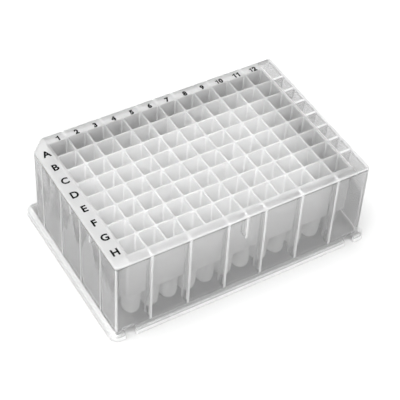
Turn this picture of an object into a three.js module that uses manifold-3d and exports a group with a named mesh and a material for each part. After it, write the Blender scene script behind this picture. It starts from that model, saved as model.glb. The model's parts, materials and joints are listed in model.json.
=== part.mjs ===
// Deep-well plate with 96 square-mouthed, round-bottomed wells, moulded in one piece.
// Millimetres, +Z up. The origin is the middle of the underside, which is the plane that the
// plate stands on. Row A lies at +Y and column 1 at -X, so the cut corner beside A1 is at -X +Y.

import * as THREE from 'three';
import { mergeGeometries, mergeVertices } from 'three/addons/utils/BufferGeometryUtils.js';
import Module from 'manifold-3d';

// Wells
const columns = 12;
const rows = 8;
const mouthWidth = 8.15;
const sharedWall = 0.85; // between the mouths of neighbouring wells
const mouthTaper = 0.1; // how far each side leans in over the square part
const squareDepth = 24.5;
const blendDepth = 3.6; // height over which the square turns round
const boreRadiusAtBlend = 3.45;
const boreRadiusAtBase = 3.1;
const tubeWall = 0.85;
const wellFloor = 1;
const wellFacets = 8; // sides of the round part, a multiple of four

// Block of wells, and the channel that runs round it under the deck
const blockWall = 1;
const blockCornerRadius = 1.6;
const endChannel = 5.6;
const sideChannel = 2.7;

// Body
const plateHeight = 44;
const bodyWall = 1.4;
const deckThickness = 1.3;
const bodyCornerRadius = 1.5;
const hollowCornerRadius = 0.6;
const keyCornerCut = 6.5; // leg of the straight cut that marks the corner beside A1
const cornerFacets = 3; // flats to each round corner

// Base flange, which fits an instrument's nest and takes the top of a plate stacked below
const endLedge = 2.305;
const sideLedge = 2.065;
const flangeHeight = 3.8;
const flangeBevelRun = 0.8;
const flangeBevelRise = 1.2;
const flangeCornerRadius = 3.5;
const flangeWall = 1.4;
const ledgeThickness = 1.2;
const underClearance = 1.5; // from the standing plane up to the wells

// Webs between the block and the body's walls
const webThickness = 1.2;
const middleWebDepth = 13.2;
const endShortWebDepth = 6;

// Notches in the flange of the two long sides
const notchWidth = 5.2;
const notchFromMiddle = 55.2;
const notchAboveFlange = 0.3;

const overlap = 0.5; // how far joined solids reach into each other
const reach = 5; // how far cutting solids stand out of what they cut

// Sizes that follow
const pitch = mouthWidth + sharedWall; // the standard 9 mm
const blockLength = (columns - 1) * pitch + mouthWidth + 2 * blockWall;
const blockWidth = (rows - 1) * pitch + mouthWidth + 2 * blockWall;
const hollowLength = blockLength + 2 * endChannel;
const hollowWidth = blockWidth + 2 * sideChannel;
const hollowCornerCut = keyCornerCut - (2 - Math.SQRT2) * bodyWall; // leaves an even wall
const bodyLength = hollowLength + 2 * bodyWall;
const bodyWidth = hollowWidth + 2 * bodyWall;
const footprintLength = bodyLength + 2 * endLedge;
const footprintWidth = bodyWidth + 2 * sideLedge;
const deckUnderside = plateHeight - deckThickness;
const blendTop = plateHeight - squareDepth;
const blendBottom = blendTop - blendDepth;
const floorTop = underClearance + wellFloor;

const columnX = (column) => (column - (columns - 1) / 2) * pitch;
const rowY = (row) => ((rows - 1) / 2 - row) * pitch;

const wasm = await Module();
wasm.setup();

/** Turn a closed geometry into a solid that can be joined and cut. */
function solid(geometry) {
  geometry.deleteAttribute('normal');
  geometry.deleteAttribute('uv');
  const welded = mergeVertices(geometry);
  return new wasm.Manifold(new wasm.Mesh({
    numProp: 3,
    vertProperties: new Float32Array(welded.attributes.position.array),
    triVerts: new Uint32Array(welded.index.array),
  }));
}

/** A rectangular block between two corners. */
function block(low, high) {
  const size = high.map((value, axis) => value - low[axis]);
  const middle = high.map((value, axis) => (value + low[axis]) / 2);
  return new THREE.BoxGeometry(...size).translate(...middle);
}

/** Outline of a rectangle with round corners, and a straight cut at -X +Y where one is asked for. */
function outline(length, width, radius, cut = 0) {
  const x = length / 2 - radius;
  const y = width / 2 - radius;
  const shape = new THREE.Shape();
  shape.absarc(x, -y, radius, -Math.PI / 2, 0);
  shape.absarc(x, y, radius, 0, Math.PI / 2);
  if (cut > 0) {
    shape.lineTo(cut - length / 2, width / 2);
    shape.lineTo(-length / 2, width / 2 - cut);
  } else {
    shape.absarc(-x, y, radius, Math.PI / 2, Math.PI);
  }
  shape.absarc(-x, -y, radius, Math.PI, 1.5 * Math.PI);
  return shape;
}

/** An outline raised from one height to another. */
function prism(shape, bottom, top) {
  const settings = { depth: top - bottom, bevelEnabled: false, curveSegments: cornerFacets };
  return new THREE.ExtrudeGeometry(shape, settings).translate(0, 0, bottom);
}

/** A ring of points, as many to each quarter turn, none of them on an axis. */
function roundRing(radius, z, facets = wellFacets) {
  const step = 2 * Math.PI / facets;
  const corner = 2 * radius / (1 + Math.cos(step / 2)); // puts the mean of the facets at the radius
  return Array.from({ length: facets }, (_, index) => {
    const angle = (index + 0.5) * step;
    return new THREE.Vector3(corner * Math.cos(angle), corner * Math.sin(angle), z);
  });
}

function squareRing(half, z) {
  return [[1, 1], [-1, 1], [-1, -1], [1, -1]].map(([x, y]) => new THREE.Vector3(x * half, y * half, z));
}

/**
 * Loft down through convex rings, and close it with a flat lid above and, below, a point or a flat
 * floor. Where one ring has several times as many points as the next, as where a square turns
 * round, each corner of the coarse ring fans out over its own share of the fine one.
 */
function loft(rings, tip) {
  const faces = [];
  let start = 0;
  rings.slice(1).forEach((lower, level) => {
    const upper = rings[level];
    const next = start + upper.length;
    const widens = lower.length >= upper.length;
    const [coarse, coarseStart, fine, fineStart] = widens
      ? [upper, start, lower, next] : [lower, next, upper, start];
    const face = (a, b, c) => faces.push(...(widens ? [a, b, c] : [a, c, b]));
    const share = fine.length / coarse.length;
    coarse.forEach((_, index) => {
      const here = coarseStart + index;
      const beside = coarseStart + (index + 1) % coarse.length;
      const first = fineStart + index * share;
      const last = first + share - 1;
      const after = fineStart + ((index + 1) * share) % fine.length;
      for (let point = first; point < last; point += 1) face(here, point, point + 1);
      face(here, last, after);
      face(here, after, beside);
    });
    start = next;
  });
  for (let index = 2; index < rings[0].length; index += 1) faces.push(0, index - 1, index);
  const points = rings.flat();
  const count = rings.at(-1).length;
  for (let index = 0; index < count; index += 1) {
    if (tip) faces.push(start + index, points.length, start + (index + 1) % count);
    else if (index > 1) faces.push(start, start + index, start + index - 1);
  }
  const geometry = new THREE.BufferGeometry().setFromPoints(tip ? [...points, tip] : points);
  geometry.setIndex(faces);
  return geometry;
}

/** Rounded end below a bore or tube of this radius: one ring of the bowl, then its lowest point. */
function bowl(radius, lowest, bowlFacets) {
  const turn = Math.PI / 4;
  const rings = [
    roundRing(radius, lowest + radius),
    roundRing(radius * Math.cos(turn), lowest + radius * (1 - Math.sin(turn)), bowlFacets),
  ];
  return { rings, tip: new THREE.Vector3(0, 0, lowest) };
}

/** The space inside one well: a square mouth that leans in slightly and blends into a round bore. */
function wellCavity() {
  const end = bowl(boreRadiusAtBase, floorTop, wellFacets / 2);
  const lean = mouthTaper / squareDepth;
  return loft([
    squareRing(mouthWidth / 2 + lean * reach, plateHeight + reach),
    squareRing(mouthWidth / 2 - mouthTaper, blendTop),
    roundRing(boreRadiusAtBlend, blendBottom),
    ...end.rings,
  ], end.tip);
}

/** The outside of one well below the block: it fills its square of the grid, then turns round. */
function wellTube() {
  const end = bowl(boreRadiusAtBase + tubeWall, underClearance, wellFacets);
  return loft([
    squareRing(pitch / 2, blendTop + overlap),
    squareRing(pitch / 2, blendTop - wellFloor),
    roundRing(boreRadiusAtBlend + tubeWall, blendBottom - wellFloor),
    ...end.rings,
  ], end.tip);
}

/** Copies of a geometry, one at each well. */
function atEachWell(geometry) {
  return Array.from({ length: rows * columns }, (_, well) => {
    return geometry.clone().translate(columnX(well % columns), rowY(Math.floor(well / columns)), 0);
  });
}

/** The base flange, its upper edge bevelled. */
function flangeBlank() {
  const ring = (inset, z) => outline(footprintLength - 2 * inset, footprintWidth - 2 * inset,
    flangeCornerRadius - inset).extractPoints(cornerFacets).shape
    .map((point) => new THREE.Vector3(point.x, point.y, z));
  return loft([
    ring(flangeBevelRun, flangeHeight),
    ring(0, flangeHeight - flangeBevelRise),
    ring(0, 0),
  ]);
}

/** Deck, walls and flange: one thin cover, open below, that steps out to the flange. */
function makeCover() {
  const body = outline(bodyLength, bodyWidth, bodyCornerRadius, keyCornerCut);
  const hollow = outline(hollowLength, hollowWidth, hollowCornerRadius, hollowCornerCut);
  const recess = outline(footprintLength - 2 * flangeWall, footprintWidth - 2 * flangeWall,
    flangeCornerRadius - flangeWall);
  return solid(flangeBlank())
    .add(solid(prism(body, flangeHeight - overlap, plateHeight)))
    .subtract(solid(prism(hollow, -reach, deckUnderside)))
    .subtract(solid(prism(recess, -reach, flangeHeight - ledgeThickness)));
}

/** The block in which neighbouring wells share their walls, with a tube below for each well. */
function addWells(cover) {
  const sides = outline(blockLength, blockWidth, blockCornerRadius);
  const joined = cover.add(solid(prism(sides, blendTop - wellFloor, plateHeight - overlap)));
  const outside = atEachWell(wellTube()).reduce((sum, tube) => sum.add(solid(tube)), joined);
  return outside.subtract(solid(mergeGeometries(atEachWell(wellCavity()))));
}

/**
 * Webs across the channel. Every second wall of the grid, counted from each end, runs on to the
 * body's wall at full height. The end walls have a short web at each wall between those, and the
 * long walls only one, in the middle.
 */
function webs() {
  const top = deckUnderside + overlap;
  const half = webThickness / 2;
  const made = [];
  for (let wall = 1; wall < columns; wall += 1) {
    const full = wall % 2 === 1;
    if (!full && wall !== columns / 2) continue;
    const x = (wall - columns / 2) * pitch;
    const bottom = full ? flangeHeight : plateHeight - middleWebDepth;
    for (const [from, to] of bothSides(blockWidth / 2 - overlap, hollowWidth / 2 + overlap)) {
      made.push(block([x - half, from, bottom], [x + half, to, top]));
    }
  }
  for (let wall = 1; wall < rows; wall += 1) {
    const y = (rows / 2 - wall) * pitch;
    const bottom = wall % 2 === 1 ? flangeHeight : plateHeight - endShortWebDepth;
    for (const [from, to] of bothSides(blockLength / 2 - overlap, hollowLength / 2 + overlap)) {
      made.push(block([from, y - half, bottom], [to, y + half, top]));
    }
  }
  return made;
}

/** The stretch between two distances from the middle, on the high side and on the low side. */
function bothSides(near, far) {
  return [[near, far], [-far, -near]];
}

/** Cuts through the flange of both long sides, near the corners, up to just above the ledge. */
function notches() {
  const half = notchWidth / 2;
  const top = flangeHeight + notchAboveFlange;
  return [-notchFromMiddle, notchFromMiddle].flatMap((x) => {
    return bothSides(hollowWidth / 2 - overlap, footprintWidth / 2 + reach).map(([from, to]) => {
      return block([x - half, from, -reach], [x + half, to, top]);
    });
  });
}

function makePlate() {
  const cover = webs().reduce((sum, web) => sum.add(solid(web)), makeCover());
  return addWells(cover).subtract(solid(mergeGeometries(notches())));
}

/** A mesh of a finished solid. */
function toGeometry(manifold) {
  const { vertProperties, triVerts } = manifold.getMesh();
  const geometry = new THREE.BufferGeometry();
  geometry.setAttribute('position', new THREE.BufferAttribute(vertProperties, 3));
  geometry.setIndex(new THREE.BufferAttribute(triVerts, 1));
  geometry.computeVertexNormals();
  return geometry;
}

const naturalPolypropylene = new THREE.MeshStandardMaterial({
  name: 'natural_polypropylene',
  color: 0xe4e6e5,
  roughness: 0.4,
  metalness: 0,
});

const wellPlate = new THREE.Mesh(toGeometry(makePlate()), naturalPolypropylene);
wellPlate.name = 'well_plate';

const part = new THREE.Group();
part.name = 'deep_well_plate';
part.add(wellPlate);

export default part;
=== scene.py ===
import json
import math

import bmesh
import bpy
from mathutils import Matrix, Vector

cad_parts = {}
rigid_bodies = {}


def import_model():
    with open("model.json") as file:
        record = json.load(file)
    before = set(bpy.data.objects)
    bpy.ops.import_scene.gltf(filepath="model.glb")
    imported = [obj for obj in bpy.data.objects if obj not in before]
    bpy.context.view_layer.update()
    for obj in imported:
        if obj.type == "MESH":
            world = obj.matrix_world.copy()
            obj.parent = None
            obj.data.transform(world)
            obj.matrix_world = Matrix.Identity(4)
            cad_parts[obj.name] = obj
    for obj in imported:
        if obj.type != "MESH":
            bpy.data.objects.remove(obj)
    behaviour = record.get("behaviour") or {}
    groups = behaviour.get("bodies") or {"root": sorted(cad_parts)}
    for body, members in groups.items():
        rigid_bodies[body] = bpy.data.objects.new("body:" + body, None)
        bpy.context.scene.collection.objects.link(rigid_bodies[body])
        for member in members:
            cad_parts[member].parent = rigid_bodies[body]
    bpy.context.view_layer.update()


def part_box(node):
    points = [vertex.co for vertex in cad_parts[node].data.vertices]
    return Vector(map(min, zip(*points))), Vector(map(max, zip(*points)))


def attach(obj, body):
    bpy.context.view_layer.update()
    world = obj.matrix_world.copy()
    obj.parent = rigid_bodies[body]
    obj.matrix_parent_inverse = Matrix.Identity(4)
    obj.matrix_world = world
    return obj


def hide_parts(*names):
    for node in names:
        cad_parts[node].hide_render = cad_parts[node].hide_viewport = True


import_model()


# ---------------------------------------------------------------------------------------------
# Cover: deck, skirt and base flange.
# One thin polypropylene shell, open below. The core of the mould forms its inside, and the skirt
# steps out at the foot into the flange that fits an instrument's nest.
# ---------------------------------------------------------------------------------------------
MM = 0.001
QUARTER = math.pi / 2
plate_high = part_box("well_plate")[1]
plate_height = plate_high.z
half_length = plate_high.x
half_width = plate_high.y
end_ledge = 2.305 * MM
side_ledge = 2.065 * MM
body_wall = 1.4 * MM
deck_thickness = 1.3 * MM
body_corner = 1.5 * MM
key_corner_cut = 6.5 * MM
deck_edge = 0.45 * MM
inner_fillet = 0.5 * MM
ledge_fillet = 0.3 * MM
flange_height = 3.8 * MM
flange_bevel_run = 0.8 * MM
flange_bevel_rise = 1.2 * MM
flange_corner = 3.5 * MM
flange_wall = 1.4 * MM
ledge_thickness = 1.2 * MM
foot_edge = 0.2 * MM
COVER_CORNER_POINTS = 8


def arc(centre, radius, start, turn, points):
    """Evenly spaced points along an arc, from its start angle."""
    x, y = centre
    angles = [start + turn * step / (points - 1) for step in range(points)]
    return [(x + radius * math.cos(angle), y + radius * math.sin(angle)) for angle in angles]


def ring(half_x, half_y, radius, z, cut=0.0, points=COVER_CORNER_POINTS):
    """A rectangle with round corners, anticlockwise from +X -Y, with as many points at each corner.
    A cut takes the -X +Y corner off at 45 degrees and rounds its two ends."""
    x, y = half_x - radius, half_y - radius
    flat = arc((x, -y), radius, -QUARTER, QUARTER, points)
    flat += arc((x, y), radius, 0, QUARTER, points)
    if cut:
        tangent = radius * math.tan(QUARTER / 4)
        flat += arc((cut - half_x + tangent, y), radius, QUARTER, QUARTER / 2, points // 2)
        flat += arc((-x, half_y - cut - tangent), radius, 1.5 * QUARTER, QUARTER / 2, points // 2)
    else:
        flat += arc((-x, y), radius, QUARTER, QUARTER, points)
    flat += arc((-x, -y), radius, 2 * QUARTER, QUARTER, points)
    return [Vector((px, py, z)) for px, py in flat]


def add_object(name, data):
    """A new object in the scene, at the origin."""
    made = bpy.data.objects.new(name, data)
    bpy.context.scene.collection.objects.link(made)
    return made


def add_mesh(name, work):
    """A new object with the mesh that was worked on."""
    mesh = bpy.data.meshes.new(name)
    work.to_mesh(mesh)
    work.free()
    return add_object(name, mesh)


def loft(name, rings, tip=None):
    """A closed form through rings of equal count, ended flat, or in a point past the last ring."""
    work = bmesh.new()
    levels = [[work.verts.new(point) for point in points] for points in rings]
    for upper, lower in zip(levels, levels[1:]):
        for index in range(len(upper)):
            after = (index + 1) % len(upper)
            work.faces.new((upper[index], upper[after], lower[after], lower[index]))
    work.faces.new(levels[0])
    last = levels[-1]
    if tip:
        point = work.verts.new(tip)
        for index in range(len(last)):
            work.faces.new((last[index], last[(index + 1) % len(last)], point))
    else:
        work.faces.new(last)
    bmesh.ops.recalc_face_normals(work, faces=work.faces)
    return add_mesh(name, work)


def body_ring(inset, z):
    """The skirt's outline, moved in by an inset, the cut corner's face as far as the walls."""
    return ring(
        half_length - end_ledge - inset,
        half_width - side_ledge - inset,
        body_corner - inset * body_corner / (2 * body_wall),
        z,
        key_corner_cut - (2 - math.sqrt(2)) * inset,
    )


def flange_ring(inset, z):
    """The flange's outline, moved in by an inset."""
    return ring(half_length - inset, half_width - inset, flange_corner - inset, z)


def rounding(run, rise, steps=4):
    """(run, rise) pairs along a quarter of an ellipse that turns an upright wall into a flat one."""
    turns = [QUARTER * step / steps for step in range(steps + 1)]
    return [(run * (1 - math.cos(turn)), rise * math.sin(turn)) for turn in turns]


deck_underside = plate_height - deck_thickness
ledge_underside = flange_height - ledge_thickness
bevel_foot = flange_height - flange_bevel_rise
inner_rings = [
    body_ring(body_wall + run, deck_underside - inner_fillet + rise)
    for run, rise in reversed(rounding(inner_fillet, inner_fillet))
]
inner_rings += [body_ring(body_wall, ledge_underside)]
foot_rings = [
    flange_ring(flange_wall, ledge_underside),
    flange_ring(flange_wall, foot_edge),
    flange_ring(flange_wall - foot_edge, 0),
    flange_ring(foot_edge, 0),
    flange_ring(0, foot_edge),
]
bevel_rings = [
    flange_ring(run, bevel_foot + rise)
    for run, rise in rounding(flange_bevel_run, flange_bevel_rise, steps=5)
]
skirt_rings = [
    body_ring(-ledge_fillet * out, flange_height + ledge_fillet * up)
    for out, up in ((1, 0), (1 / 3, 1 / 3), (0, 1))
]
skirt_rings += [
    body_ring(run, plate_height - deck_edge + rise) for run, rise in rounding(deck_edge, deck_edge)
]
cover = loft("cover", inner_rings + foot_rings + bevel_rings + skirt_rings)


# ---------------------------------------------------------------------------------------------
# Block of wells.
# Neighbouring wells share their thin upright walls. Each well opens as a square with softened
# corners, leans in slightly, and below the block goes over into a round tube with a bowl end.
# ---------------------------------------------------------------------------------------------
columns = 12
rows = 8
pitch = 9 * MM
mouth_half = 8.15 / 2 * MM
mouth_corner = 0.7 * MM
mouth_flare = 0.22 * MM
mouth_taper = 0.1 * MM
square_depth = 24.5 * MM
blend_depth = 3.6 * MM
blend_ease = 0.8
bore_at_blend = 3.45 * MM
bore_at_base = 3.1 * MM
bore_overrun = 1 * MM
tube_wall = 0.85 * MM
well_floor = 1 * MM
under_clearance = 1.5 * MM
block_wall = 1 * MM
block_corner = 1.6 * MM
tube_gap = 0.05 * MM
inside_deck = 0.5 * MM
WELL_CORNER_POINTS = 7

blend_top = plate_height - square_depth
block_half_length = (columns - 1) / 2 * pitch + mouth_half + block_wall
block_half_width = (rows - 1) / 2 * pitch + mouth_half + block_wall


def well_ring(half, corner, z):
    """A square with soft corners, or a circle where the corner is half as wide as the square."""
    return ring(half, half, corner, z, points=WELL_CORNER_POINTS)


def blend(start_half, start_corner, end_radius, top, bottom, steps=5):
    """Rings that turn a square with soft corners into a circle."""
    made = []
    for step in range(steps + 1):
        share = step / steps
        eased = (1 - math.cos(math.pi * share)) / 2
        half = start_half + (end_radius - start_half) * eased
        corner = start_corner + (end_radius - start_corner) * math.sin(QUARTER * share) ** blend_ease
        made.append(well_ring(half, min(corner, half), top + (bottom - top) * share))
    return made


def bowl(radius, lowest, steps=5):
    """Rings of a hemisphere under a bore of this radius, without its lowest point."""
    made = []
    for step in range(steps):
        turn = QUARTER * step / steps
        around = radius * math.cos(turn)
        made.append(well_ring(around, around, lowest + radius * (1 - math.sin(turn))))
    return made


def well_cavity():
    """The space inside one well, standing out above the deck so that it cuts cleanly."""
    flare = [
        well_ring(mouth_half + mouth_flare - rise, mouth_corner + mouth_flare - rise, plate_height - run)
        for run, rise in rounding(mouth_flare, mouth_flare, steps=3)
    ]
    over_deck = [point + Vector((0, 0, bore_overrun)) for point in flare[0]]
    square = blend(
        mouth_half - mouth_taper, mouth_corner, bore_at_blend, blend_top, blend_top - blend_depth
    )
    lowest = under_clearance + well_floor
    rings = [over_deck, *flare, *square, *bowl(bore_at_base, lowest)]
    return loft("well_cavity", rings, tip=Vector((0, 0, lowest)))


def well_tube():
    """The outside of one well below the block, with its square end inside the block."""
    top = blend_top - well_floor
    square = blend(
        pitch / 2 - tube_gap, mouth_corner + tube_gap, bore_at_blend + tube_wall, top, top - blend_depth
    )
    inside_block = [point + Vector((0, 0, inside_deck)) for point in square[0]]
    rings = [inside_block, *square, *bowl(bore_at_base + tube_wall, under_clearance)]
    return loft("well_tube", rings, tip=Vector((0, 0, under_clearance)))


class Tree:
    """A Geometry Nodes tree under construction."""

    def __init__(self, name, sockets):
        self.group = bpy.data.node_groups.new(name, "GeometryNodeTree")
        self.group.interface.new_socket("Geometry", in_out="OUTPUT", socket_type="NodeSocketGeometry")
        self.ids = {}
        for title, kind in sockets.items():
            made = self.group.interface.new_socket(title, in_out="INPUT", socket_type=kind)
            self.ids[title] = made.identifier
        self.given = self.group.nodes.new("NodeGroupInput").outputs
        self.result = self.group.nodes.new("NodeGroupOutput").inputs

    def add(self, kind, inputs):
        """Adds a node, and links or sets its inputs. Returns its first output."""
        node = self.group.nodes.new(kind)
        for key, value in inputs.items():
            if isinstance(value, bpy.types.NodeSocket):
                self.group.links.new(value, node.inputs[key])
            else:
                node.inputs[key].default_value = value
        return node.outputs[0]


def copies_on_a_grid():
    """Copies of a mesh in rows: a line of points stands on each point of a second line."""
    tree = Tree(
        "copies_on_a_grid",
        {
            "Piece": "NodeSocketGeometry",
            "Along": "NodeSocketInt",
            "Along Step": "NodeSocketVector",
            "Across": "NodeSocketInt",
            "Across Step": "NodeSocketVector",
            "First Place": "NodeSocketVector",
            "Material": "NodeSocketMaterial",
        },
    )
    given = tree.given
    line = tree.add("GeometryNodeMeshLine", {"Count": given["Along"], "Offset": given["Along Step"]})
    starts = tree.add(
        "GeometryNodeMeshLine",
        {"Count": given["Across"], "Start Location": given["First Place"], "Offset": given["Across Step"]},
    )
    lines = tree.add("GeometryNodeInstanceOnPoints", {"Points": starts, "Instance": line})
    points = tree.add("GeometryNodeRealizeInstances", {"Geometry": lines})
    placed = tree.add("GeometryNodeInstanceOnPoints", {"Points": points, "Instance": given["Piece"]})
    solid = tree.add("GeometryNodeRealizeInstances", {"Geometry": placed})
    dressed = tree.add("GeometryNodeSetMaterial", {"Geometry": solid, "Material": given["Material"]})
    tree.group.links.new(dressed, tree.result["Geometry"])
    return tree


grid_tree = copies_on_a_grid()


def plain_mesh(piece):
    """Replaces an object's mesh by what its modifiers make of it, and drops the modifiers."""
    bpy.context.view_layer.update()
    seen = piece.evaluated_get(bpy.context.evaluated_depsgraph_get())
    mesh = bpy.data.meshes.new_from_object(seen)
    piece.modifiers.clear()
    piece.data = mesh
    return piece


def repeat(piece, along, along_step, across, across_step, first):
    """Turns one piece into rows of it, in one plain mesh."""
    modifier = piece.modifiers.new("rows", "NODES")
    modifier.node_group = grid_tree.group
    values = {
        "Along": along,
        "Along Step": along_step,
        "Across": across,
        "Across Step": across_step,
        "First Place": first,
    }
    for title, value in values.items():
        modifier[grid_tree.ids[title]] = value
    return plain_mesh(piece)


def at_each_well(piece):
    """Repeats a piece at all wells, from the back left one."""
    first = (-(columns - 1) / 2 * pitch, (rows - 1) / 2 * pitch, 0)
    return repeat(piece, columns, (pitch, 0, 0), rows, (0, -pitch, 0), first)


block = loft(
    "block",
    [
        ring(block_half_length, block_half_width, block_corner, plate_height - inside_deck),
        ring(block_half_length, block_half_width, block_corner, blend_top - well_floor),
    ],
)
tubes = at_each_well(well_tube())
cavities = at_each_well(well_cavity())


# ---------------------------------------------------------------------------------------------
# Webs.
# Thin ribs across the channel tie the block to the skirt. Every second wall of the grid, counted
# from each end, runs on as a full web down to the ledge; short webs stop a little under the deck.
# ---------------------------------------------------------------------------------------------
web_thickness = 1.2 * MM
web_root = 0.5 * MM
middle_web_depth = 13.2 * MM
end_short_web_depth = 6 * MM

skirt_inside_x = half_length - end_ledge - body_wall
skirt_inside_y = half_width - side_ledge - body_wall
last_side_web = (columns / 2 - 1) * pitch
last_end_web = (rows / 2 - 1) * pitch


def box(name, low, high):
    """A closed box between two corners."""
    x, y = [(low[axis] + high[axis]) / 2 for axis in (0, 1)]
    half_x, half_y = [(high[axis] - low[axis]) / 2 for axis in (0, 1)]
    corners = [(-1, -1), (1, -1), (1, 1), (-1, 1)]
    rings = [
        [Vector((x + sign_x * half_x, y + sign_y * half_y, z)) for sign_x, sign_y in corners]
        for z in (high[2], low[2])
    ]
    return loft(name, rings)


def side_webs(name, bottom, first_x, count):
    """Webs across the front and back channels, all of one depth and two pitches apart."""
    near, far = block_half_width - web_root, skirt_inside_y + web_root
    top = deck_underside + inside_deck
    one = box(name, (-web_thickness / 2, near, bottom), (web_thickness / 2, far, top))
    return repeat(one, count, (2 * pitch, 0, 0), 2, (0, -(near + far), 0), (first_x, 0, 0))


def end_webs(name, bottom, first_y, count):
    """Webs across the two end channels, all of one depth and two pitches apart."""
    near, far = block_half_length - web_root, skirt_inside_x + web_root
    top = deck_underside + inside_deck
    one = box(name, (near, -web_thickness / 2, bottom), (far, web_thickness / 2, top))
    return repeat(one, count, (0, -2 * pitch, 0), 2, (-(near + far), 0, 0), (0, first_y, 0))


webs = [
    side_webs("side_webs", flange_height, -last_side_web, columns // 2),
    side_webs("middle_webs", plate_height - middle_web_depth, 0, 1),
    end_webs("tall_end_webs", flange_height, last_end_web, rows // 2),
    end_webs("short_end_webs", plate_height - end_short_web_depth, last_end_web - pitch, rows // 2 - 1),
]


# ---------------------------------------------------------------------------------------------
# Notches.
# Openings through the flange of both long sides near the corners, for the grips of stackers.
# The mould forms them with the flange, and they end just above it.
# ---------------------------------------------------------------------------------------------
notch_width = 5.2 * MM
notch_from_middle = 55.2 * MM
notch_above_flange = 0.3 * MM
notch_into_skirt = 0.5 * MM
notch_overrun = 2 * MM

notch_near = skirt_inside_y - notch_into_skirt
notch_far = half_width + notch_overrun
notch = box(
    "notch",
    (-notch_width / 2, notch_near, -notch_overrun),
    (notch_width / 2, notch_far, flange_height + notch_above_flange),
)
first_notch = (-notch_from_middle, 0, 0)
notches = repeat(
    notch, 2, (2 * notch_from_middle, 0, 0), 2, (0, -(notch_near + notch_far), 0), first_notch
)


# ---------------------------------------------------------------------------------------------
# The moulding.
# Everything above is one injection moulding in natural polypropylene. It is clear where it is
# thin and polished, and milky at its wells, webs, rim and flange, with faint flow marks. Some of
# its tones are painted light and shade.
# ---------------------------------------------------------------------------------------------
smooth_below = math.radians(35)

mask_edge = 0.3 * MM
back_deck_edge = 2 * MM
foot_overlap = 0.1 * MM
corner_rib_inset = 0.5 * MM
rim_width = 0.5 * MM
end_rim_width = 1.6 * MM
wall_top_depth = 0.4 * MM
post_reach = 1 * MM
tube_frost_height = 14 * MM
# Where the painted shade on the back rows and right columns of wells begins, and how far it fades in.
far_column = 5 * pitch
far_row = 3 * pitch
far_fade = 2 * pitch

plastic_ior = 1.4
plastic_tint = 0.81
# Painted shade: the dark tint of the clear line under the deck's rim.
edge_shade_tint = 0.12
haze_density = 60.0
flow_scale = 120.0
flow_marks = 0.15

skin_roughness = 0.1
skirt_roughness = 0.09
deck_roughness = 0.3
right_deck_roughness = 0.08
well_roughness = 0.4

skin_frost = 0.03
skirt_frost = 0.05
deck_frost = 0.18
# Painted shade: the deck's frost thins towards the right end, so the deck shows darker there.
right_deck_shade_frost = 0.08
back_deck_frost = 0.2
strip_frost = 0.38
rib_frost = 0.5
deck_rib_frost = 0.44
# The rim's frost is partly for the thick edge of the deck and partly a painted highlight along its rounded
# edge.
rim_frost = 0.38
end_rim_frost = 0.38
well_frost = 0.35
post_frost = 0.85
top_frost = 0.2
block_frost = 0.95
tube_frost = 0.95
foot_frost = 0.9
# Painted light: the ledges at the ends are milkier, and so lighter, than those along the sides.
side_ledge_frost = 0.05
end_ledge_lit_frost = 0.5

cover_white = 0.52
cover_share = 0.3
well_white = 0.87
well_share = 0.6
# Painted shade: how much greyer the block's outer faces are, down in the channel inside the skirt.
block_face_shade = 0.3
rib_white = 0.9
# The rim's white is partly a painted highlight along the deck's rounded edge.
rim_white = 0.6
end_rim_white = 0.9


def combine(piece, other, operation):
    """Joins another solid to a piece, or cuts it out, and uses the other up."""
    modifier = piece.modifiers.new(operation.lower(), "BOOLEAN")
    modifier.solver = "MANIFOLD"
    modifier.operation = operation
    modifier.object = other
    plain_mesh(piece)
    bpy.data.objects.remove(other)


for part in (block, tubes, *webs):
    combine(cover, part, "UNION")
for space in (cavities, notches):
    combine(cover, space, "DIFFERENCE")
cover.name = cover.data.name = "plate_moulding"


class Value:
    """A shader socket that can be used in arithmetic."""

    def __init__(self, shader, socket):
        self.shader = shader
        self.socket = socket

    def maths(self, operation, first, second=0.0):
        """What a Math node makes of one or two values."""
        return self.shader.add("ShaderNodeMath", {"operation": operation}, {0: first, 1: second})

    def __add__(self, other):
        return self.maths("ADD", self, other)

    def __sub__(self, other):
        return self.maths("SUBTRACT", self, other)

    def __mul__(self, other):
        return self.maths("MULTIPLY", self, other)

    def __truediv__(self, other):
        return self.maths("DIVIDE", self, other)

    def __pow__(self, other):
        return self.maths("POWER", self, other)

    def __rsub__(self, other):
        return self.maths("SUBTRACT", other, self)

    def __rtruediv__(self, other):
        return self.maths("DIVIDE", other, self)

    def __rpow__(self, other):
        return self.maths("POWER", other, self)

    __radd__ = __add__
    __rmul__ = __mul__

    def __abs__(self):
        return self.maths("ABSOLUTE", self)

    def larger(self, other):
        """The larger of two values, which joins two masks."""
        return self.maths("MAXIMUM", self, other)


class Shader:
    """The node tree of a material or a world; add() makes one node in it."""

    def __init__(self, holder):
        self.holder = holder
        holder.use_nodes = True
        self.tree = holder.node_tree
        self.tree.nodes.clear()

    def add(self, kind, settings=None, inputs=None, output=0):
        """Makes a node, sets its settings, then links or sets its inputs. Returns one output."""
        node = self.tree.nodes.new(kind)
        for key, value in (settings or {}).items():
            setattr(node, key, value)
        for key, value in (inputs or {}).items():
            if isinstance(value, Value):
                self.tree.links.new(value.socket, node.inputs[key])
            else:
                node.inputs[key].default_value = value
        return Value(self, node.outputs[output]) if node.outputs else None

    def spot(self):
        """The point being shaded, in metres in the plate's own frame."""
        return self.add("ShaderNodeTexCoord", output="Object")

    def place(self):
        """The x, y and z of the point being shaded."""
        return [self.add("ShaderNodeSeparateXYZ", {}, {0: self.spot()}, axis) for axis in "XYZ"]

    def mottle(self, scale):
        """Soft uneven patches between 0 and 1; a larger scale makes them finer."""
        return self.add("ShaderNodeTexNoise", {}, {"Vector": self.spot(), "Scale": scale, "Detail": 3.0})


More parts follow.
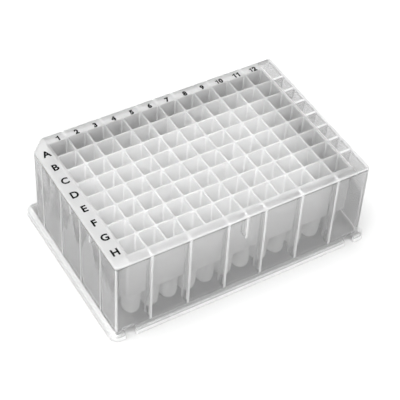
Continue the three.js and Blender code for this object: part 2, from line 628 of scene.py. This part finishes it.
def below(value, limit, soft=mask_edge):
    """1 where a value is under a limit, and 0 past it, over a soft edge."""
    return value.shader.add(
        "ShaderNodeMapRange",
        {"interpolation_type": "SMOOTHSTEP"},
        {
            "Value": value,
            "From Min": limit - soft / 2,
            "From Max": limit + soft / 2,
            "To Min": 1.0,
            "To Max": 0.0,
        },
    )


def above(value, limit, soft=mask_edge):
    """1 where a value is past a limit, and 0 under it, over a soft edge."""
    return 1 - below(value, limit, soft)


def off_line(value, apart, first=0.0):
    """How far a value is from the nearest of the lines that stand evenly apart."""
    return value.maths("PINGPONG", value - first, apart / 2)


def toward(value, other, share):
    """A value that goes over into another where the share is 1."""
    return value + (other - value) * share


def grey(white):
    """A colour without hue."""
    return (white, white, white, 1)


class Regions:
    """Masks over the moulding: each is 1 on one region of it and 0 elsewhere."""

    def __init__(self, x, y, z):
        off_x, off_y = abs(x), abs(y)

        # Wells. The posts are where two of their walls cross.
        self.wells = below(off_x, block_half_length + mask_edge) * below(off_y, block_half_width + mask_edge)
        block_end = above(off_x, block_half_length - mask_edge)
        self.block_face = block_end.larger(above(off_y, block_half_width - mask_edge))
        self.posts = below(off_line(x, pitch), post_reach) * below(off_line(y, pitch), post_reach)
        self.tubes = below(z, tube_frost_height, tube_frost_height)
        self.wall_top = self.wells * above(z, plate_height - wall_top_depth)
        # Painted shade: the wells towards the back and the right take the cover's greyer white.
        self.far_wells = above(x, far_column, far_fade).larger(above(y, far_row, far_fade))

        # Skirt and base flange.
        skirt_side = above(off_y, skirt_inside_y)
        skirt_end = above(off_x, skirt_inside_x)
        self.skirt = skirt_side.larger(skirt_end)
        self.foot = (1 - self.wells) * below(z, flange_height + foot_overlap)
        self.flange_face = below(z, bevel_foot, flange_bevel_rise)
        self.end_ledge = above(off_x, half_length - end_ledge)

        # Deck, with the strip that carries the letters.
        self.deck = above(z, deck_underside)
        self.letter_strip = self.deck * below(x, -block_half_length)
        self.back_deck = above(y, block_half_width) * below(x, block_half_length, back_deck_edge)
        self.right_deck = above(x, block_half_length)
        # Painted shade: the deck clears towards its right end.
        self.rightward = above(x, 0, 2 * half_length)

        # Webs, as they show through the skirt and the deck, and the skirt's corners.
        half_web = web_thickness / 2
        side_web = below(off_line(x, 2 * pitch, pitch), half_web)
        middle_web = below(off_x, half_web) * above(z, plate_height - middle_web_depth)
        end_web = below(off_line(y, 2 * pitch, pitch), half_web)
        short_web = below(off_line(y, 2 * pitch), half_web) * below(off_y, last_end_web)
        short_web = short_web * above(z, plate_height - end_short_web_depth)
        side_deck = self.deck * above(off_y, block_half_width)
        end_deck = self.deck * above(off_x, block_half_length)
        side_rib = side_web.larger(middle_web) * skirt_side.larger(side_deck)
        end_rib = end_web.larger(short_web) * skirt_end.larger(end_deck)
        # The skirt's corners are whiter, partly for the deeper plastic where two walls meet and partly as a
        # painted highlight down their rounded edge.
        corner_x = above(off_x, skirt_inside_x + corner_rib_inset)
        corner_rib = corner_x * above(off_y, skirt_inside_y + corner_rib_inset)
        ribs = side_rib.larger(end_rib).larger(corner_rib)
        self.ribs = ribs * (1 - self.foot) * (1 - self.letter_strip)

        # Rim of the deck, and under it a dark line of painted shade, for the view that the rounded edge
        # bends down into the hollow.
        outside_x, outside_y = skirt_inside_x + body_wall, skirt_inside_y + body_wall
        outer = above(off_x, outside_x - rim_width).larger(above(off_y, outside_y - rim_width))
        # Partly a painted highlight: the rounded outer edge of the deck is whiter.
        self.rim = outer * above(z, plate_height - deck_edge - rim_width / 2)
        self.end_rim = above(x, outside_x - end_rim_width) * self.deck
        self.edge_line = outer * self.deck * (1 - self.rim) * (1 - self.ribs) * (1 - self.end_rim)


def frost(at):
    """How much of a face is milky, from 0, clear, to 1. Each step lays one region over the last.
    The deck clearing towards the right is painted shade, and the milkier end ledges are painted light.
    """
    # Painted shade: the deck clears, and so darkens, towards the right.
    deck = toward(deck_frost, right_deck_shade_frost, at.rightward)
    deck = deck.larger(back_deck_frost * at.back_deck).larger(strip_frost * at.letter_strip)
    ribs = toward(rib_frost, deck.larger(deck_rib_frost), at.deck)
    wells = toward(toward(well_frost, post_frost, at.posts), block_frost, at.block_face)
    # Painted light: the end ledges are lighter than the side ones.
    ledge = toward(side_ledge_frost, end_ledge_lit_frost, at.end_ledge)

    amount = toward(skin_frost, skirt_frost, at.skirt)
    amount = toward(amount, deck, at.deck)
    amount = toward(amount, rim_frost, at.rim)
    # The painted dark line of shade under the rim stays clear of frost.
    amount = toward(amount, ribs, at.ribs) * (1 - at.edge_line)
    amount = toward(amount, end_rim_frost, at.end_rim)
    amount = toward(amount, toward(wells, tube_frost, at.tubes), at.wells)
    amount = toward(amount, top_frost, at.wall_top)
    return toward(amount, toward(ledge, foot_frost, at.flange_face), at.foot)


def roughness(at):
    """The polish that the mould leaves on a clear face."""
    amount = toward(skin_roughness, skirt_roughness, at.skirt)
    deck = toward(deck_roughness, right_deck_roughness, at.right_deck)
    return toward(toward(amount, deck, at.deck), well_roughness, at.wells)


def whiteness(at):
    """How far a milky face takes the wells' white instead of the cover's duller one. The greyer
    block faces and far wells are painted shade.
    """
    # Painted shade: the block's outer faces and the far wells turn greyer.
    white = at.wells * (1 - block_face_shade * at.block_face) * (1 - at.far_wells)
    white = white.larger(at.foot).larger(at.ribs * rib_white)
    return white.larger(at.rim * rim_white).larger(at.end_rim * end_rim_white)


def milk(shader, white, share):
    """A white that is lit from its front and, for a share of it, from behind."""
    front = shader.add("ShaderNodeBsdfDiffuse", {}, {"Color": grey(white)})
    behind = shader.add("ShaderNodeBsdfTranslucent", {}, {"Color": grey(white)})
    return shader.add("ShaderNodeMixShader", {}, {0: share, 1: front, 2: behind})


def natural_polypropylene():
    """Clear plastic with a white haze in it. The haze also lies on the faces, as frost: thin on the
    polished skin, and thick where a wall or web behind the face deepens it. Some of the frost, the
    white and the tint are painted light and shade, as the masks say."""
    shader = Shader(bpy.data.materials.new("milky_polypropylene"))
    at = Regions(*shader.place())
    marks = 1 - flow_marks + 2 * flow_marks * shader.mottle(flow_scale)
    clear = shader.add(
        "ShaderNodeBsdfPrincipled",
        {},
        {
            # Painted shade: the clear plastic turns dark along the line under the rim.
            "Base Color": toward(plastic_tint, edge_shade_tint, at.edge_line),
            "Roughness": roughness(at) * marks,
            "Transmission Weight": 1.0,
            "IOR": plastic_ior,
        },
    )
    cover_milk = milk(shader, cover_white, cover_share)
    well_milk = milk(shader, well_white, well_share)
    milky = shader.add("ShaderNodeMixShader", {}, {0: whiteness(at), 1: cover_milk, 2: well_milk})
    surface = shader.add("ShaderNodeMixShader", {}, {0: frost(at) * marks, 1: clear, 2: milky})
    haze = shader.add("ShaderNodeVolumeScatter", {}, {"Color": grey(1), "Density": haze_density})
    shader.add("ShaderNodeOutputMaterial", {}, {"Surface": surface, "Volume": haze})
    return shader.holder


cover.data.materials.clear()
cover.data.materials.append(natural_polypropylene())
for face in cover.data.polygons:
    face.use_smooth = True
cover.data.set_sharp_from_angle(angle=smooth_below)
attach(cover, "root")
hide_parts("well_plate")


# ---------------------------------------------------------------------------------------------
# Printed letters and numbers.
# Black ink put on the deck by a soft pad, thinner than a hair: a letter beside each row of wells
# and a number behind each column. The ink is matt and a little greyer in places.
# ---------------------------------------------------------------------------------------------
letter_height = 3.8 * MM
letter_swell = 0.035
letters_x = -57.4 * MM
letters_drop = 0.85 * MM
number_height = 2.9 * MM
number_swell = 0.06
numbers_y = 37.25 * MM
numbers_aside = 0.75 * MM
digit_gap = 0.12
CURVE_STEPS = 4
ONE_WITH_A_FLAG = [
    (0, 0.54), (0, 0.41), (0.18, 0.48), (0.18, -0.01),
    (0.35, -0.01), (0.35, 0.69), (0.23, 0.69), (0.15, 0.58),
]
ink_thickness = 0.02 * MM
ink_scale = 900.0
ink_darkest = 0.001
ink_fading = 0.007
ink_roughness = 0.55
ink_unevenness = 0.3
ink_gloss = 0.03


def letterpress(character, swell):
    """One character as a flat mesh, about 1 wide and high; the 1 has its own plain outline."""
    if character == "1":
        mesh = bpy.data.meshes.new(character)
        corners = [(x, y, 0) for x, y in ONE_WITH_A_FLAG]
        mesh.from_pydata(corners, [], [tuple(range(len(corners)))])
        return mesh
    curve = bpy.data.curves.new(character, "FONT")
    curve.body = character
    curve.size = 1
    curve.offset = swell
    curve.resolution_u = CURVE_STEPS
    holder = add_object(character, curve)
    mesh = bpy.data.meshes.new_from_object(holder.evaluated_get(bpy.context.evaluated_depsgraph_get()))
    bpy.data.objects.remove(holder)
    return mesh


def span(meshes, axis):
    """The lowest and highest place of some meshes along one axis."""
    ends = [vertex.co[axis] for mesh in meshes for vertex in mesh.vertices]
    return min(ends), max(ends)


def label(text, height, swell, x, y):
    """The characters of one label side by side, at a height, with the label's middle at x, y."""
    meshes = [letterpress(character, swell) for character in text]
    edge = 0
    for mesh in meshes:
        low, high = span([mesh], 0)
        mesh.transform(Matrix.Translation((edge - low, 0, 0)))
        edge += high - low + digit_gap
    (left, right), (foot, head) = span(meshes, 0), span(meshes, 1)
    to_middle = Matrix.Translation((-(left + right) / 2, -(foot + head) / 2, 0))
    to_size = Matrix.Scale(height / (head - foot), 4)
    to_deck = Matrix.Translation((x, y, plate_height + ink_thickness))
    for mesh in meshes:
        mesh.transform(to_deck @ to_size @ to_middle)
    return meshes


def printing_ink():
    """Matt black, mottled where the pad left less of it."""
    shader = Shader(bpy.data.materials.new("printing_ink"))
    thin = shader.mottle(ink_scale)
    surface = shader.add(
        "ShaderNodeBsdfPrincipled",
        {},
        {
            "Base Color": ink_darkest + ink_fading * thin,
            "Roughness": ink_roughness + ink_unevenness * thin,
            "Specular IOR Level": ink_gloss,
        },
    )
    shader.add("ShaderNodeOutputMaterial", {}, {"Surface": surface})
    return shader.holder


ink = printing_ink()


def printed(name, labels):
    """One piece with all labels of a kind."""
    work = bmesh.new()
    for mesh in (mesh for meshes in labels for mesh in meshes):
        work.from_mesh(mesh)
    piece = add_mesh(name, work)
    piece.data.materials.append(ink)
    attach(piece, "root")


letter_places = [((rows - 1) / 2 - row) * pitch - letters_drop for row in range(rows)]
number_places = [(column - (columns - 1) / 2) * pitch + numbers_aside for column in range(columns)]
printed(
    "row_letters",
    [
        label(letter, letter_height, letter_swell, letters_x, y)
        for letter, y in zip("ABCDEFGH", letter_places)
    ],
)
printed(
    "column_numbers",
    [
        label(str(number), number_height, number_swell, x, numbers_y)
        for number, x in enumerate(number_places, start=1)
    ],
)


# ---------------------------------------------------------------------------------------------
# Floor, light and camera.
# The plate stands on a pale matt table in a dim room, under a wide soft light overhead and a
# weaker one in front. The camera is a long lens that looks down on the front left corner.
# ---------------------------------------------------------------------------------------------
floor_reach = 3.0
floor_white = 0.335
floor_roughness = 0.9
sky_base = 0.2
sky_patches = [((-0.2, 0.0, 1), 0.55, 13.0), ((0.1, -1, 0.2), 0.7, 4.0)]
patch_falloff = 4
camera_azimuth = math.radians(-32.903)
camera_elevation = math.radians(46.176)
camera_roll = math.radians(3.758)
camera_distance = 571.422 * MM
camera_aside = 0.463 * MM
camera_down = 19.161 * MM
focal_length = 120.09
sensor_width = 36


def pale_floor():
    """A matt pale material without gloss."""
    shader = Shader(bpy.data.materials.new("pale_floor"))
    surface = shader.add(
        "ShaderNodeBsdfPrincipled",
        {},
        {"Base Color": grey(floor_white), "Roughness": floor_roughness, "Specular IOR Level": 0.0},
    )
    shader.add("ShaderNodeOutputMaterial", {}, {"Surface": surface})
    return shader.holder


floor_mesh = bpy.data.meshes.new("floor")
floor_corners = [(x * floor_reach, y * floor_reach, 0) for x, y in ((-1, -1), (1, -1), (1, 1), (-1, 1))]
floor_mesh.from_pydata(floor_corners, [], [(0, 1, 2, 3)])
floor_mesh.materials.append(pale_floor())
add_object("floor", floor_mesh)


def studio():
    """A dim room with large soft lights: each patch has a direction, a radius in radians and a
    strength that falls off toward its edge."""
    room = Shader(bpy.data.worlds.new("studio"))
    heading = room.add("ShaderNodeTexCoord", output="Generated")
    light = sky_base
    for direction, radius, strength in sky_patches:
        facing = room.add(
            "ShaderNodeVectorMath",
            {"operation": "DOT_PRODUCT"},
            {0: heading, 1: Vector(direction).normalized()},
            "Value",
        )
        apart = facing.maths("ARCCOSINE", facing.maths("MINIMUM", facing, 1.0)) / radius
        light = light + strength * math.e ** (-1 * apart**patch_falloff)
    glow = room.add("ShaderNodeBackground", {}, {"Color": grey(1), "Strength": light})
    room.add("ShaderNodeOutputWorld", {}, {"Surface": glow})
    return room.holder


scene = bpy.context.scene
scene.world = studio()
scene.view_settings.view_transform = "Standard"
# Light has to pass many walls of plastic, and the clamp calms what it scatters inside them.
scene.cycles.max_bounces = 64
scene.cycles.transmission_bounces = 64
scene.cycles.volume_bounces = 32
scene.cycles.glossy_bounces = 16
scene.cycles.diffuse_bounces = 12
scene.cycles.sample_clamp_indirect = 2.5

back = Vector(
    (
        math.sin(camera_azimuth) * math.cos(camera_elevation),
        -math.cos(camera_azimuth) * math.cos(camera_elevation),
        math.sin(camera_elevation),
    )
)
level = Vector((math.cos(camera_azimuth), math.sin(camera_azimuth), 0))
upright = back.cross(level)
aside = level * math.cos(camera_roll) + upright * math.sin(camera_roll)
up = upright * math.cos(camera_roll) - level * math.sin(camera_roll)
deck_middle = Vector((0, 0, plate_height))
stand = deck_middle + aside * camera_aside - up * camera_down + back * camera_distance

lens = bpy.data.cameras.new("camera")
lens.sensor_width = sensor_width
lens.lens = focal_length
lens.clip_start = 10 * MM
camera = add_object("camera", lens)
camera.matrix_world = Matrix.Translation(stand) @ Matrix((aside, up, back)).transposed().to_4x4()
scene.camera = camera
